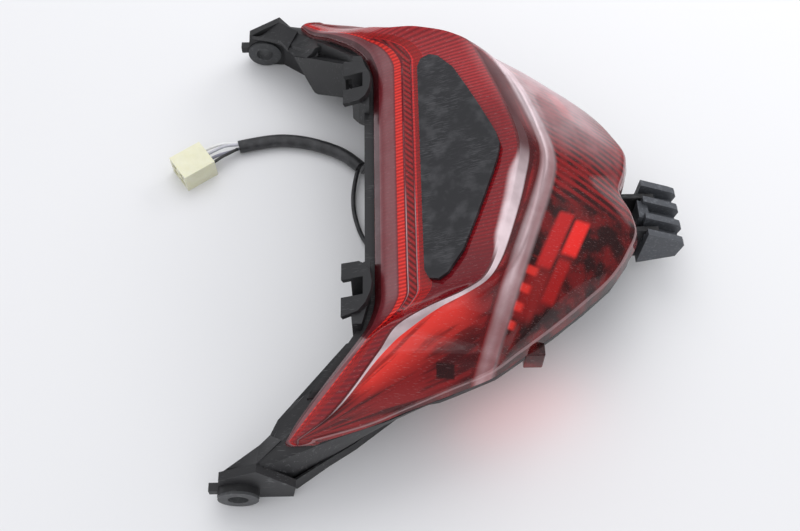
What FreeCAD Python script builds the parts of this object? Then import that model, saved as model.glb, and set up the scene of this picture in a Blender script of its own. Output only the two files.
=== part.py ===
import FreeCAD, Part
import math
import os
import Sketcher
from FreeCAD import Placement, Rotation, Vector

# Motorcycle tail light, in millimetres. +Z is up, +X is the rear of the motorcycle, and the light is
# symmetric about the plane y = 0. "left" is -Y and "right" is +Y, as a rider sees them.
# The body rests on z = 0 with its lens up, and the origin is under the middle of its length.

DOC = FreeCAD.newDocument("tail_light")
SHEET = DOC.addObject("Spreadsheet::Sheet", "Sizes")

SIZES = {
    "origin_shift": 3.85,
    "lens_wall": 2.4,
    "lens_skirt": 3.0,
    "seal_height": 1.0,
    "tub_wall": 2.6,
    "rail_width": 4.6,
    "rail_depth": 11.0,
    "arm_wall": 2.6,
    "boss_radius": 9.5,
    "boss_bore": 7.0,
    "boss_back": 127.8,
    "lug_thick": 3.9,
    "boss_face": 135.0,
    "bush_hole": 4.65,
    "bush_flange": 9.3,
    "panel_thick": 1.8,
    "tape_thick": 0.6,
    "holder_y": 38.0,
    "holder_z": 25.0,
    "holder_wall_x": 24.0,
    "holder_flange": 15.0,
    "holder_barrel": 10.4,
    "holder_bore": 7.8,
    "holder_hole": 11.0,
    "holder_cap": 9.0,
    "bulb_base": 7.5,
    "bulb_glass": 9.0,
    "dish_hole": 12.0,
    "dish_mouth": 19.5,
    "dish_wall": 1.6,
    "sleeve_width": 7.1,
    "wire_width": 1.7,
    "lead_width": 2.4,
    "plug_long": 18.6,
    "plug_wide": 16.5,
    "plug_high": 12.0,
    "screw_shank": 1.9,
    "screw_head": 3.6,
}

for row, (alias, value) in enumerate(SIZES.items(), start=1):
    SHEET.set(f"A{row}", alias)
    SHEET.set(f"B{row}", str(value))
    SHEET.setAlias(f"B{row}", alias)
DOC.recompute()


def size(alias):
    """A driving dimension, read from the sheet."""
    return float(SHEET.get(alias))


NODES = []
SIDES = {"left": -1, "right": 1}


def keep(obj, label):
    """Names a finished sub-part."""
    obj.Label = label
    NODES.append(obj)
    return obj


def place(obj, x, y, z, rotation=Rotation()):
    """Puts a sub-part in the light's frame, whose origin is under the middle of its length."""
    obj.Placement = Placement(Vector(x + size("origin_shift"), y, z), rotation)


def shape_node(label, shape):
    """A sub-part whose form has no parametric feature, built from the sheet's sizes."""
    obj = DOC.addObject("Part::Feature", label)
    obj.Shape = shape
    obj.Placement = Placement(Vector(size("origin_shift"), 0, 0), Rotation()).multiply(obj.Placement)
    return keep(obj, label)


# ---------------------------------------------------------------- lines that the mouldings follow

# Each line holds (x, |y|, z) points from the middle of the light out to the tip of its wing.
LINES = {
    "front_edge": [(-42, 0, 62), (-42, 62, 62), (-45.5, 76, 62.5), (-50.5, 83.5, 61.5),
                   (-63.5, 98, 54), (-77.5, 113, 42.5), (-82, 120, 39.5)],
    "flange": [(-38, 0, 66.5), (-38, 62, 66.5), (-41.5, 76, 66.5), (-46.5, 83.5, 65.5),
               (-60, 98, 57.5), (-75, 113, 44.5), (-80.5, 120, 40.8)],
    "deck_front": [(-20, 0, 75.8), (-20, 64, 75.8), (-24, 72, 76.5), (-32, 78, 75.5), (-42, 84, 71.5),
                   (-48, 91, 66), (-66, 108, 49.6), (-79, 120, 41.4)],
    "deck_edge": [(23.5, 0, 92.3), (19.5, 22, 91), (13.5, 43, 88.7), (9, 57, 87), (4, 66, 87), (-5, 72, 86.5),
                  (-20, 78, 84), (-34, 84, 77), (-40.5, 91, 70), (-64, 112, 47), (-77, 120, 41.8)],
    "bevel": [(33, 0, 86), (29.5, 18, 86), (25, 33, 86), (19.5, 48, 85.5), (14, 59, 84.5), (8, 66, 84),
              (-1, 72, 83.5), (-13, 78, 81), (-26, 85, 75.5), (-38, 92, 67), (-62, 112, 46.2), (-75, 120, 42)],
    "ridge": [(41, 0, 79.5), (37.5, 20, 80), (33, 35, 80), (28, 48, 78.5), (22.5, 60, 74), (18, 71, 68),
              (13.5, 84, 60), (10.5, 91.5, 52), (-12, 101, 49.5), (-47, 114, 45), (-72, 120, 42)],
    "skirt_top": [(76.5, 0, 51), (80.5, 12, 51), (82, 21, 50.5), (76, 35, 50.5), (66.5, 48, 50.5),
                  (53, 60, 50), (38, 72, 49.5), (21.5, 84, 49), (10, 92, 48), (-9, 100, 47),
                  (-30, 108, 44.6), (-45.5, 114, 43), (-69, 120, 41.6)],
    "rim": [(78, 0, 42), (82, 12, 42), (84, 21, 42), (77.5, 35, 42), (68, 48, 42), (54.5, 60, 42),
            (39.5, 72, 42), (23, 84, 42), (11.5, 92, 42), (-7.5, 100, 42), (-28.5, 108, 42),
            (-44, 114, 41), (-67, 120, 38)],
    "arm_edge": [(-55, 80, 53.6), (-78.7, 100, 37.1), (-86.5, 106.6, 31.7), (-89.6, 112, 29.4),
                 (-92.5, 118.2, 27), (-105, 128, 21)],
    "arm_step": [(-75.6, 100, 40.4), (-82.2, 106.6, 34.6), (-87, 112, 31), (-90.6, 118.2, 29.3),
                 (-102, 128, 25.6)],
    "arm_shoulder": [(-73.5, 100, 44.5), (-81.6, 106.6, 37.4), (-86.3, 112, 33.2), (-89.6, 118.2, 31),
                     (-100.6, 128, 27.4)],
    "arm_crest": [(-65.4, 100, 48.4), (-71.6, 106.6, 43.2), (-76.6, 112, 39.2), (-83.7, 118.2, 36.5),
                  (-95.5, 128, 33.6)],
    "arm_rim": [(-8, 100, 40.9), (-25, 106.6, 40.9), (-38, 112, 40.4), (-60.5, 118.2, 37.4), (-91.2, 128, 31.6)],
    "arm_foot": [(-44.5, 100, 4), (-53, 106.6, 4), (-60.5, 112, 4), (-70, 118.2, 4), (-84, 128, 6.5)],
    "lip": [(-12.5, 84.3, 5), (-21.8, 88, 6), (-31.5, 93, 6.5), (-42, 101, 7), (-53.3, 109.7, 7.5),
            (-66.3, 118, 8.5), (-80.2, 128, 11)],
    "shelf": [(-24, 0, 46), (-24, 62, 46), (-29, 74, 44), (-47, 100, 33)],
    "floor_front": [(-24, 0, 0), (-24, 60, 0), (-29, 74, 9), (-47, 100, 29)],
    "floor_rear": [(48, 0, 0), (50, 21, 0), (44, 35, 0), (37, 48, 0), (25, 60, 0), (9, 74, 9), (-37, 100, 29)],
}
LENS_STATIONS = [0, 6, 12, 21, 28, 35, 42, 48, 54, 60, 66, 72, 75, 78, 81, 84, 88, 92, 96, 100, 104, 108, 114,
                 120]
TUB_STATIONS = [0, 12, 21, 35, 48, 60, 66, 72, 78, 84, 92, 100]
ARM_STATIONS = [100, 106.6, 112, 118.2, 128]


def at(line, y):
    """The (x, z) of a line at a distance y from the middle plane."""
    points = LINES[line]
    for (x0, y0, z0), (x1, y1, z1) in zip(points, points[1:]):
        if y <= y1:
            part = (y - y0) / (y1 - y0)
            return (x0 + part * (x1 - x0), z0 + part * (z1 - z0))
    return (points[-1][0], points[-1][2])


def moved(point, dx, dz):
    return (point[0] + dx, point[1] + dz)


def inset(chain, wall):
    """An open (x, z) chain moved a wall's thickness to its right, with mitred corners."""
    normals = []
    for (x0, z0), (x1, z1) in zip(chain, chain[1:]):
        length = math.hypot(x1 - x0, z1 - z0)
        normals.append(((z1 - z0) / length, -(x1 - x0) / length))
    before = [normals[0]] + normals
    after = normals + [normals[-1]]
    result = []
    for (x, z), (ax, az), (bx, bz) in zip(chain, before, after):
        scale = wall / (1 + ax * bx + az * bz)
        result.append((x + (ax + bx) * scale, z + (az + bz) * scale))
    return result


def wire(section, y):
    points = [Vector(x, y, z) for x, z in section]
    return Part.makePolygon(points + points[:1])


def loft(section_at, stations):
    """A ruled solid through the closed sections that stand at the given distances from y = 0."""
    return Part.makeLoft([wire(section_at(abs(y)), y) for y in stations], True, True)


def both_ways(stations):
    """Stations on the left half and the right half, from left to right."""
    return [-y for y in reversed(stations) if y > 0] + list(stations)


def mirrored(shape):
    return shape.mirror(Vector(0, 0, 0), Vector(0, 1, 0))


def box(x0, x1, y0, y1, z0, z1):
    return Part.makeBox(x1 - x0, y1 - y0, z1 - z0, Vector(x0, y0, z0))


def prism(outline, y0, y1):
    """An (x, z) outline, extruded along Y."""
    return Part.Face(wire(outline, y0)).extrude(Vector(0, y1 - y0, 0))


def plate(outline, z0, z1):
    """An (x, y) outline, extruded along Z."""
    points = [Vector(x, y, z0) for x, y in outline]
    return Part.Face(Part.makePolygon(points + points[:1])).extrude(Vector(0, 0, z1 - z0))


# ---------------------------------------------------------------- revolved bodies

def revolved_body(label, profile, x, y, z, rotation=Rotation()):
    """A PartDesign body turned about its own X axis.

    The profile is a closed list of (along, radius) expressions on the sheet's cells."""
    body = DOC.addObject("PartDesign::Body", label)
    sketch = body.newObject("Sketcher::SketchObject", label + "_profile")
    plane = [feature for feature in body.Origin.OriginFeatures if feature.Role == "XY_Plane"][0]
    sketch.AttachmentSupport = [(plane, "")]
    sketch.MapMode = "FlatFace"
    numbers = [tuple(evaluate(text) for text in pair) for pair in profile]
    count = len(numbers)
    for i, (u, v) in enumerate(numbers):
        u2, v2 = numbers[(i + 1) % count]
        sketch.addGeometry(Part.LineSegment(Vector(u, v, 0), Vector(u2, v2, 0)))
    for i in range(count):
        sketch.addConstraint(Sketcher.Constraint("Coincident", i, 2, (i + 1) % count, 1))
    for i, (u_text, v_text) in enumerate(profile):
        pin_coordinate(sketch, "DistanceX", i, u_text, f"along{i}", -2)
        pin_coordinate(sketch, "DistanceY", i, v_text, f"radius{i}", -1)
    turn = body.newObject("PartDesign::Revolution", label + "_turn")
    turn.Profile = sketch
    turn.ReferenceAxis = (sketch, ["H_Axis"])
    turn.Angle = 360
    DOC.recompute()
    place(body, x, y, z, rotation)
    return keep(body, label)


def evaluate(text):
    """The number that an expression on the sheet gives."""
    cell = DOC.getObject("Scratch")
    if cell is None:
        cell = DOC.addObject("App::FeaturePython", "Scratch")
        cell.addProperty("App::PropertyFloat", "Value")
    return float(cell.evalExpression(text))


def pin_coordinate(sketch, kind, index, text, name, axis):
    """Holds a sketch point at an expression's value, or on the axis where that is zero."""
    value = evaluate(text)
    if value == 0:
        sketch.addConstraint(Sketcher.Constraint("PointOnObject", index, 1, axis))
        return
    number = sketch.addConstraint(Sketcher.Constraint(kind, -1, 1, index, 1, value))
    sketch.renameConstraint(number, name)
    sketch.setExpression("Constraints." + name, text)



# ---------------------------------------------------------------- lens, seal, panel

def lens_chain(y):
    """The lens's outer surface in the plane at y, from its front foot over the top to its rear foot."""
    front = at("front_edge", y)
    upper = [at(line, y) for line in ("flange", "deck_front", "deck_edge", "bevel", "ridge", "skirt_top", "rim")]
    return [moved(front, 0, -size("lens_skirt")), front] + upper


def lens_wall(y):
    outer = lens_chain(y)
    inner = inset(outer, size("lens_wall"))
    inner[-1] = (inner[-1][0], outer[-1][1])
    return outer + inner[::-1]


def outer_lens():
    tip = LENS_STATIONS[-1]
    shell = loft(lens_wall, both_ways(LENS_STATIONS))
    cap = prism(lens_chain(tip), tip, tip + 2.2)
    lug = clip_lug(0)
    parts = [cap, mirrored(cap), lug, mirrored(lug)]
    shape_node("outer_lens", shell.fuse(parts).removeSplitter())


def clip_lug(gap):
    """The block under the lens's rim that clips into the housing, or the space around it."""
    return box(25.5 - gap, 34.5 + gap, 76 - gap, 82 + gap, 28 - gap, 42.4 + gap)


def lens_seal():
    """The bead between the lens's foot and the housing's ledge, a front run and a rear run."""
    high = size("seal_height")
    wide = size("lens_wall")

    def front_run(y):
        foot = moved(at("front_edge", y), 0, -size("lens_skirt"))
        return [foot, moved(foot, wide, 0), moved(foot, wide, -high), moved(foot, 0, -high)]

    def rear_run(y):
        foot = at("rim", y)
        return [foot, moved(foot, -wide, 0), moved(foot, -wide, -high), moved(foot, 0, -high)]

    stations = both_ways(TUB_STATIONS)
    gap = clip_lug(CLIP_GAP)
    rear = loft(rear_run, stations).cut([gap, mirrored(gap)])
    shape_node("lens_seal", Part.makeCompound([loft(front_run, stations)] + rear.Solids))


CLIP_GAP = 0.3
PANEL_HALF = [(-19.4, 0), (-19.4, 57), (-17.6, 61.5), (-13.5, 62.8), (-9.5, 60.5), (-2.6, 51), (3.7, 36),
              (7.8, 25.6), (12, 14.4), (14.6, 7), (16, 0)]
DECK_SLOPE = 0.386


def deck_plate(label, lift, thick, shrink):
    """A plate with the panel's outline, lying on the sloping deck."""
    half = [(x * shrink, y * shrink) for x, y in PANEL_HALF]
    outline = half + [(x, -y) for x, y in reversed(half) if y > 0]
    tilt = math.atan(DECK_SLOPE)
    flat = plate([(x / math.cos(tilt), y) for x, y in outline], lift, lift + thick)
    flat.rotate(Vector(0, 0, 0), Vector(0, 1, 0), -math.degrees(tilt))
    middle = at("deck_front", 0)
    flat.translate(Vector(0, 0, middle[1] - DECK_SLOPE * middle[0]))
    shape_node(label, flat)


# ---------------------------------------------------------------- housing

def tub_outside(y):
    """The tub's outside, from the front ledge down round the floor to the rear ledge."""
    front = moved(at("front_edge", y), -size("rail_width"), -size("lens_skirt") - size("seal_height"))
    rear = moved(at("rim", y), 0, -size("seal_height"))
    low = [at(line, y) for line in ("shelf", "floor_front", "floor_rear")]
    return [front, moved(front, 0, -size("rail_depth"))] + low + [moved(rear, 0, -3), rear]


def tub_wall(y):
    wall = size("tub_wall")
    outside = tub_outside(y)
    front, rail_low, shelf, floor_front, floor_rear, rear_low, rear = outside
    ledge = size("rail_width") + 3.2
    inside = [moved(rear, -4.5, 0), moved(rear_low, -5, 0), moved(floor_rear, -1.5, wall),
              moved(floor_front, wall, wall), moved(shelf, wall, wall), moved(rail_low, wall, wall),
              moved(front, wall, -3), moved(front, ledge, -3), moved(front, ledge, 0)]
    return outside + inside


def arm_shell(y):
    """The roof under a wing of the lens and the slanting wall that drops from its rim."""
    lines = ("arm_edge", "arm_step", "arm_shoulder", "arm_crest", "arm_rim", "arm_foot")
    outer = [at(line, y) for line in lines]
    return outer + inset(outer, size("arm_wall"))[::-1]


def arm_ledge(y):
    """The narrow ledge in front of the rail that carries the arm's edge back to the tab."""
    edge = at("arm_edge", y)
    rail = at("front_edge", y)[0] - size("rail_width") + 1
    thick = size("arm_wall")
    return [edge, (rail, edge[1] + 1.5), (rail, edge[1] - thick), (edge[0], edge[1] - thick)]


def trough_lip(y):
    """The floor of the trough and the low lip along its outer side."""
    x, z = at("lip", y)
    floor_x, floor_z, lip_wall = x - 4.2, 4.4, 1.8
    return [(floor_x, 0), (floor_x, floor_z), (x - lip_wall, floor_z), (x - lip_wall, z), (x, z), (x + 0.5, 0)]


def under_tub(y):
    """The wall that carries the trough on under the tub's floor."""
    top = moved(at("floor_rear", y), 0, 1.5)
    foot = moved(at("lip", y), -3.4, 0)
    wall = size("arm_wall")
    return [top, (foot[0], 4), (foot[0] - wall, 4), moved(top, -wall, 0)]


def upright(start, finish, outline, thick):
    """A vertical plate on the right of a line in plan, with an outline of (distance along, z) points."""
    step = (Vector(*finish, 0) - Vector(*start, 0)).normalize()
    points = [Vector(*start, z) + step * along for along, z in outline]
    side = Vector(step.y, -step.x, 0)
    return Part.Face(Part.makePolygon(points + points[:1])).extrude(side * thick)


def arm_hood():
    """The two facets between the lens's tip and the lug, which meet in a crease."""
    drop = Vector(0, 0, -size("arm_wall"))
    seams = [((-90, 113, 29.8), (-83.9, 118.4, 38)), ((-94.1, 118, 31.2), (-94.7, 128, 35)),
             ((-107.6, 127.2, 23.8), (-111.8, 128.2, 24.4))]
    frames = []
    for low, high in seams:
        low, high = Vector(*low), Vector(*high)
        frames.append(Part.makePolygon([low, high, high + drop, low + drop, low]))
    return Part.makeLoft(frames, True, True)


BOSS_X = -105.4
BOSS_Z = 10.3


def arm_end():
    """The lug plate, the boss ring and the locating nib at the end of an arm, and the bore through them."""
    back = size("boss_back")
    lug = prism([(-105.4, 0.8), (-113, 5), (-114, 14), (-112.6, 24.6), (-94.7, 35.1), (-79.4, 12.7), (-81.5, 0),
                 (-96, 0)], back, back + size("lug_thick"))
    along = Vector(0, 1, 0)
    ring = Part.makeCylinder(size("boss_radius"), size("boss_face") - back, Vector(BOSS_X, back, BOSS_Z), along)
    nib = box(-118.7, -112, 129, 133, 9.4, 13.8)
    bore = Part.makeCylinder(size("boss_bore"), 30, Vector(BOSS_X, back - 15, BOSS_Z), along)
    return [lug, ring, nib], bore


def arm():
    """Everything of an arm but its bore: shell, ledge, trough, gusset, inner rib, hood and lug."""
    wall = size("arm_wall")
    gusset = upright((-57.3, 82), (-86.5, 106.6), [(0, 24.6), (22, 10.7), (24.6, 10.4), (26, 12), (38, 31), (0, 51.8)],
                     wall)
    rib = upright((-68, 108.3), (-95.4, 127.9), [(0, 0), (33.7, 0), (33.7, 30.6), (17, 35), (0, 40.4)], wall)
    lofts = [loft(arm_shell, ARM_STATIONS), loft(arm_ledge, [80, 84, 92, 100.5]),
             loft(trough_lip, [84.3, 88, 93, 101, 109.7, 118, 128]), loft(under_tub, [84.5, 92, 100.5])]
    solids, bore = arm_end()
    return lofts + [gusset, rib, arm_hood()] + solids, bore


TAB_SLOPE = 19


def tab():
    """A C-shaped plate, open to the front and tilted to face it, on a block that stands on the rail."""
    outline = [(0, 45.5), (8.5, 45.8), (11.6, 48), (13.7, 52), (14.6, 57.4), (13.9, 62), (11.6, 67), (8, 70.7),
               (0, 72.4), (0, 62.9), (9.8, 62.9), (9.8, 54), (0, 54)]
    thick = 2.6
    face = plate(outline, -thick, 0)
    face.rotate(Vector(0, 0, 0), Vector(0, 1, 0), -TAB_SLOPE)
    face.translate(Vector(-57, 0, 64.6))
    block = plate([(-44, 43.5), (-49.5, 46.5), (-52.6, 50), (-52.6, 70), (-52, 76), (-47.8, 76), (-44, 62)], 47.5, 65)
    pocket = box(-58, -47.2, 54, 62.9, 50, 70)
    return face.fuse(block).cut(pocket)


TONGUE_Y = 9.7
TONGUE_HALF = 1.3
TONGUE_END = 98
TONGUE_TOP = 32
FIN_Y = [-14.5, -4.9, 4.9, 14.5]


def rear_housing():
    end = TUB_STATIONS[-1]
    tub = loft(tub_wall, both_ways(TUB_STATIONS))
    end_wall = loft(tub_outside, [end, end + size("tub_wall")])
    arm_pieces, bore = arm()
    tongue = box(52, TONGUE_END, TONGUE_Y - TONGUE_HALF, TONGUE_Y + TONGUE_HALF, 8, TONGUE_TOP)
    halves = arm_pieces + [end_wall, tab(), tongue]
    bridge = box(66, 69, -TONGUE_Y, TONGUE_Y, 10, 28)
    solid = tub.fuse(halves + [mirrored(half) for half in halves] + [bridge])
    pocket = clip_lug(CLIP_GAP)
    holes = [bore, mirrored(bore), pocket, mirrored(pocket)]
    for side in SIDES.values():
        holes += holder_opening(side)
    for y in SCREW_Y:
        holes.append(Part.makeCylinder(size("screw_shank"), 2.4, Vector(SCREW_X, y, 0.6)))
    shape_node("rear_housing", solid.cut(holes).removeSplitter())


def holder_opening(side):
    """The bayonet hole in the tub's front wall: a round hole and two notches that stand at 45 degrees."""
    x = -size("holder_wall_x") - 2
    centre = Vector(x, side * size("holder_y"), size("holder_z"))
    hole = Part.makeCylinder(size("holder_hole"), 8, centre, Vector(1, 0, 0))
    notch = Part.makeBox(8, 6.4, 27.6, centre + Vector(0, -3.2, -13.8))
    notch.rotate(centre, Vector(1, 0, 0), 45)
    return [hole, notch]


def rear_cushion():
    """The push-on block behind the lens: four fins on a sloping web, a low back and slots for the tongues."""
    fin_shape = [(90, 10), (91.2, 37), (106.5, 30.6), (109.8, 28.8), (111, 26), (108.6, 15.8)]
    fins = [prism(fin_shape, y - 1.7, y + 1.7) for y in FIN_Y]
    web = prism([(91, 29.5), (109.6, 22.4), (108.9, 19.4), (91, 26.2)], FIN_Y[0], FIN_Y[-1])
    back = prism([(90, 10), (90.7, 26), (94, 26), (94, 10.9)], FIN_Y[0], FIN_Y[-1])
    block = prism([(88, 14), (88.4, 35.4), (94, 33), (94, 14)], FIN_Y[1], FIN_Y[2])
    slots = [box(80, TONGUE_END + 0.3, side * TONGUE_Y - TONGUE_HALF, side * TONGUE_Y + TONGUE_HALF, 8, TONGUE_TOP)
             for side in SIDES.values()]
    shape_node("rear_cushion", fins[0].fuse(fins[1:] + [web, back, block]).cut(slots).removeSplitter())


# ---------------------------------------------------------------- reflectors and screws

BEZEL_X = 11
SCREW_X = 16.5
SCREW_Y = [-48, -14, 14, 48]


def reflector_bezel():
    """The bright plate between the two dishes, with a foot on the tub's floor."""
    floor = size("tub_wall")
    face = box(BEZEL_X, BEZEL_X + 1.6, -59.6, 59.6, floor, 52)
    foot = box(BEZEL_X, BEZEL_X + 10, -54, 54, floor, floor + 1.8)
    cuts = []
    for side in SIDES.values():
        centre = Vector(BEZEL_X - 1, side * size("holder_y"), size("holder_z"))
        cuts.append(Part.makeCylinder(size("dish_mouth"), 4, centre, Vector(1, 0, 0)))
    for y in SCREW_Y:
        cuts.append(Part.makeCylinder(size("screw_shank"), 4, Vector(SCREW_X, y, floor - 1)))
    shape_node("reflector_bezel", face.fuse(foot).cut(cuts))


def reflector_screws():
    top = size("tub_wall") + 1.8
    screws = []
    for y in SCREW_Y:
        shank = Part.makeCylinder(size("screw_shank"), top - 0.6, Vector(SCREW_X, y, 0.6))
        head = Part.makeCylinder(size("screw_head"), 2, Vector(SCREW_X, y, top))
        across = box(SCREW_X - 2.4, SCREW_X + 2.4, y - 0.4, y + 0.4, top + 1, top + 3)
        along = box(SCREW_X - 0.4, SCREW_X + 0.4, y - 2.4, y + 2.4, top + 1, top + 3)
        screws.append(shank.fuse(head).cut([across, along]))
    shape_node("reflector_screws", Part.makeCompound(screws))


def wing_reflector(name, side):
    """The bright stepped plate under a side face of the lens, standing on the rear ledge."""
    def section(y):
        bevel = moved(at("bevel", y), 2, -8)
        ridge = moved(at("ridge", y), -7, -9)
        foot = moved(at("rim", y), -4.6, -size("seal_height"))
        chain = [bevel, ridge, foot]
        under = inset(chain, 1.4)
        under[-1] = (under[-1][0], foot[1])
        return chain + under[::-1]

    solid = loft(section, [64, 68, 72, 78, 84, 88]).cut(clip_lug(CLIP_GAP))
    shape_node(name + "_wing_reflector", solid if side > 0 else mirrored(solid))


# ---------------------------------------------------------------- bulbs and their holders

def holder_place(side):
    """Where a revolved bulb part starts: the outer end of the holder's cap."""
    return (-size("holder_wall_x") - 14, side * size("holder_y"), size("holder_z"))


def bulb_holder(name, side):
    """A cap, flange and barrel, with two bayonet ears and a finger grip."""
    x, y, z = holder_place(side)
    turned = DOC.addObject("Part::Feature", name + "_holder_turned")
    cap, flange, barrel = size("holder_cap"), size("holder_flange"), size("holder_barrel")
    profile = [(0, 0), (0, cap - 1), (1, cap), (10, cap), (10, flange), (13, flange), (13, barrel), (30, barrel),
               (30, size("holder_bore")), (11, size("holder_bore")), (11, 0)]
    turned.Shape = turned_solid(profile)
    ears = DOC.addObject("Part::Box", name + "_holder_ears")
    ears.Length, ears.Width, ears.Height = 2, 5.4, 26.6
    ears.Placement = Placement(Vector(16.8, -2.7, -13.3), Rotation())
    grip = DOC.addObject("Part::Box", name + "_holder_grip")
    grip.Length, grip.Width, grip.Height = 9, 3, 24
    grip.Placement = Placement(Vector(1.4, -1.5, -12), Rotation())
    joined = DOC.addObject("Part::MultiFuse", name + "_holder_joined")
    joined.Shapes = [turned, ears, grip]
    bore = DOC.addObject("Part::Cylinder", name + "_holder_bore")
    bore.setExpression("Radius", "Sizes.holder_bore")
    bore.Height = 25
    bore.Placement = Placement(Vector(11, 0, 0), Rotation(Vector(0, 1, 0), 90))
    holder = DOC.addObject("Part::Cut", name + "_bulb_holder")
    holder.Base = joined
    holder.Tool = bore
    DOC.recompute()
    place(holder, x, y, z)
    keep(holder, name + "_bulb_holder")


def turned_solid(profile):
    """A closed (along, radius) profile turned about the X axis."""
    points = [Vector(u, v, 0) for u, v in profile]
    face = Part.Face(Part.makePolygon(points + points[:1]))
    return face.revolve(Vector(0, 0, 0), Vector(1, 0, 0), 360)


def contact_spring(name, side):
    """The folded leaf spring behind the contact disc."""
    x, y, z = holder_place(side)
    folds = [(x + 11.3, z - 5.4), (x + 11.3, z + 5.2), (x + 13.9, z + 5.2), (x + 13.9, z - 5), (x + 16.4, z - 5),
             (x + 16.4, z + 4.6)]
    shape_node(name + "_contact_spring", prism(folds + inset(folds, 0.4)[::-1], y - 2.5, y + 2.5))


def filaments(name, side):
    """Two support wires and the coiled filament between them."""
    x, y, z = holder_place(side)
    posts = [Part.makeCylinder(0.3, 15, Vector(x + 34.5, y + dy, z), Vector(1, 0, 0)) for dy in (-2.6, 2.6)]
    coil = Part.makeCylinder(0.5, 5.2, Vector(x + 49.2, y - 2.6, z), Vector(0, 1, 0))
    shape_node(name + "_filament", coil.fuse(posts))


def bulb_parts(name, side):
    here = holder_place(side)
    revolved_body(name + "_holder_seal", [("13", "Sizes.holder_barrel"), ("13", "14.2"), ("13.9", "14.2"),
                                          ("13.9", "Sizes.holder_barrel")], *here)
    revolved_body(name + "_contact_disc", [("16.9", "0"), ("16.9", "7.4"), ("18.1", "7.4"), ("18.1", "0")], *here)
    revolved_body(name + "_bulb_base", [("18.2", "0"), ("18.2", "5"), ("19.4", "Sizes.bulb_base"),
                                        ("33", "Sizes.bulb_base"), ("34.4", "8.2"), ("34.4", "0")], *here)
    revolved_body(name + "_bulb_glass", [("34.4", "6.6"), ("34.4", "7.3"), ("38", "8.4"),
                                         ("42", "Sizes.bulb_glass"), ("52", "Sizes.bulb_glass"), ("56.5", "7.6"),
                                         ("59.5", "4.6"), ("60.6", "0"), ("59.9", "0"), ("58.9", "4.2"),
                                         ("56", "7"), ("51.8", "Sizes.bulb_glass - 0.7"),
                                         ("42.2", "Sizes.bulb_glass - 0.7"), ("38.2", "7.7")], *here)
    dish = [("25", "Sizes.dish_hole"), ("27", "14.6"), ("31", "16.9"), ("37", "18.7"), ("49", "Sizes.dish_mouth"),
            ("49", "Sizes.dish_mouth + Sizes.dish_wall"), ("37", "18.7 + Sizes.dish_wall"),
            ("31", "16.9 + Sizes.dish_wall"), ("26.4", "14.6 + Sizes.dish_wall"), ("25", "14.6")]
    revolved_body(name + "_reflector", dish, *here)


def arm_bush(name, side):
    """The flanged bush in an arm's boss, whose hole takes the mounting screw."""
    turn = Rotation(Vector(0, 0, 1), 90 * side)
    profile = [("0", "Sizes.bush_hole"), ("0", "Sizes.bush_flange"), ("1.2", "Sizes.bush_flange"),
               ("1.2", "Sizes.boss_bore"), ("1.2 + Sizes.boss_face - Sizes.boss_back", "Sizes.boss_bore"),
               ("1.2 + Sizes.boss_face - Sizes.boss_back", "Sizes.bush_flange"),
               ("2.4 + Sizes.boss_face - Sizes.boss_back", "Sizes.bush_flange"),
               ("2.4 + Sizes.boss_face - Sizes.boss_back", "Sizes.bush_hole")]
    revolved_body(name + "_arm_bush", profile, BOSS_X, side * (size("boss_back") - 1.2), BOSS_Z, turn)


# ---------------------------------------------------------------- harness

def tube(label, points, width):
    """A cord as straight runs joined by tangent arcs, each as large as its two runs allow."""
    route = [Vector(*point) for point in points]
    edges = []
    radii = []
    here = route[0]
    for before, corner, after in zip(route, route[1:], route[2:]):
        to_before = (before - corner).normalize()
        to_after = (after - corner).normalize()
        turn = math.pi - to_before.getAngle(to_after)
        tangent = 0.45 * min((before - corner).Length, (after - corner).Length)
        radius = tangent / math.tan(turn / 2)
        start = corner + to_before * tangent
        finish = corner + to_after * tangent
        bisector = (to_before + to_after).normalize()
        middle = corner + bisector * (radius / math.cos(turn / 2) - radius)
        edges.append(Part.LineSegment(here, start).toShape())
        edges.append(Part.Arc(start, middle, finish).toShape())
        radii.append(round(radius, 1))
        here = finish
    edges.append(Part.LineSegment(here, route[-1]).toShape())
    path = Part.Wire(edges)
    ring = Part.Wire(Part.Circle(route[0], route[1] - route[0], width / 2).toShape())
    solid = path.makePipeShell([ring], True, True)
    wanted = math.pi * width ** 2 / 4 * path.Length
    print(label, "length", round(path.Length, 1), "radii", radii, "volume ratio", round(solid.Volume / wanted, 4))
    shape_node(label, solid)


SLEEVE_ROUTE = [(-50.5, 49.5, 5), (-57.5, 57.5, 4.4), (-69, 64, 3.8), (-84, 69, 3.7), (-101, 70, 3.7),
                (-117.7, 65.5, 3.9)]
LEFT_LEAD_ROUTE = [(-51.9, 48.2, 4.6), (-54.5, 38, 2.8), (-54.5, 23, 2.6), (-51, 9, 2.6), (-45.5, -2, 4),
                   (-43.5, -14, 8), (-45, -25, 13), (-46, -33, 19), (-45, -38, 25), (-38, -38, 25)]
RIGHT_LEAD_ROUTE = [(-49.2, 50.7, 5.2), (-48.5, 41.5, 11), (-49.5, 38.2, 18), (-46, 38, 25), (-38, 38, 25)]
WIRE_NAMES = ["wire_white", "wire_pale_grey", "wire_grey", "wire_black"]
WIRE_ROUTES = [
    [(-117.2, 67.4, 4.6), (-123.4, 66.8, 5.8), (-129.8, 65, 6.8), (-136.5, 61.1, 7)],
    [(-117.6, 66, 5.4), (-123, 64.6, 7.2), (-128.6, 62, 7.6), (-134.6, 58.3, 7)],
    [(-117.8, 65, 3), (-123, 61.9, 4), (-127.8, 59.1, 6), (-132.6, 55.5, 7)],
    [(-118.3, 63.6, 4.8), (-122.6, 59.8, 6), (-126.6, 56.4, 7.2), (-130.7, 52.8, 7)],
]
PLUG_CENTRE = (-141.2, 51.6)
PLUG_ANGLE = 35


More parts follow.
